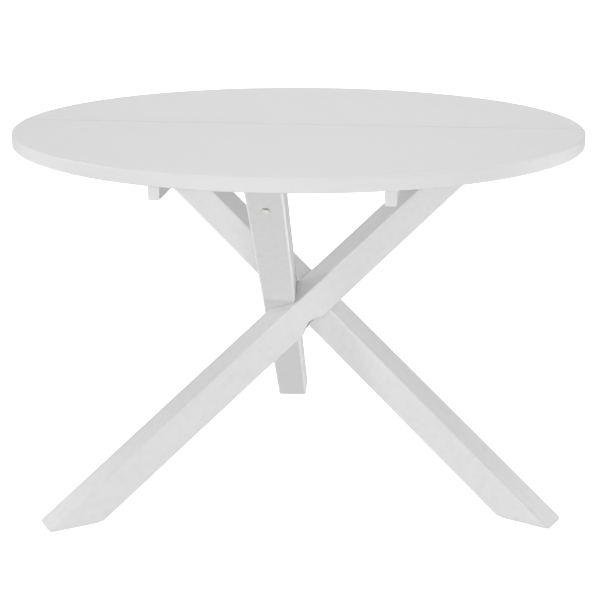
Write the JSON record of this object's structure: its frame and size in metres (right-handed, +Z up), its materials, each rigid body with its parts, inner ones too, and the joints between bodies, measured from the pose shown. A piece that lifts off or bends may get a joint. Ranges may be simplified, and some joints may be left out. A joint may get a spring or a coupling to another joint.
{
  "type": "round table",
  "caption": "Round dining table: a two-piece half-moon top tied by battens, on crossed square legs that are notched together and bolted where they pass.",
  "frame": {"origin": "on the floor, at the centre of the round top", "axes": "+Z up; X along the seam between the two halves of the top; -Y is the front, the half that the rear-footed leg carries"},
  "size_m": [1.15, 1.156, 0.755],
  "materials": {
    "painted_top": "satin white lacquer on board",
    "painted_leg": "satin white lacquer on solid wood, long edges rounded",
    "painted_batten": "satin white lacquer on solid wood",
    "beech": "bare beech, fluted dowels",
    "zinc_steel": "bright zinc plated",
    "insert_brass": "plain turned brass",
    "foot_nylon": "matt pale grey nylon"
  },
  "bodies": {
    "root": {"top_front_half": "painted_top", "top_rear_half": "painted_top", "seam_dowels": "beech", "batten_left": "painted_batten", "batten_right": "painted_batten", "batten_left_screws": "zinc_steel", "batten_right_screws": "zinc_steel", "leg_rear": "painted_leg", "leg_front_left": "painted_leg", "leg_front_right": "painted_leg", "foot_pad_rear": "foot_nylon", "foot_pad_front_left": "foot_nylon", "foot_pad_front_right": "foot_nylon", "leg_top_bolts": "zinc_steel", "leg_top_washers": "zinc_steel", "leg_top_inserts": "insert_brass", "leg_top_dowels": "beech", "crossing_bolts": "zinc_steel", "crossing_washers": "zinc_steel", "crossing_inserts": "insert_brass", "crossing_dowels": "beech"}
  },
  "joints": []
}
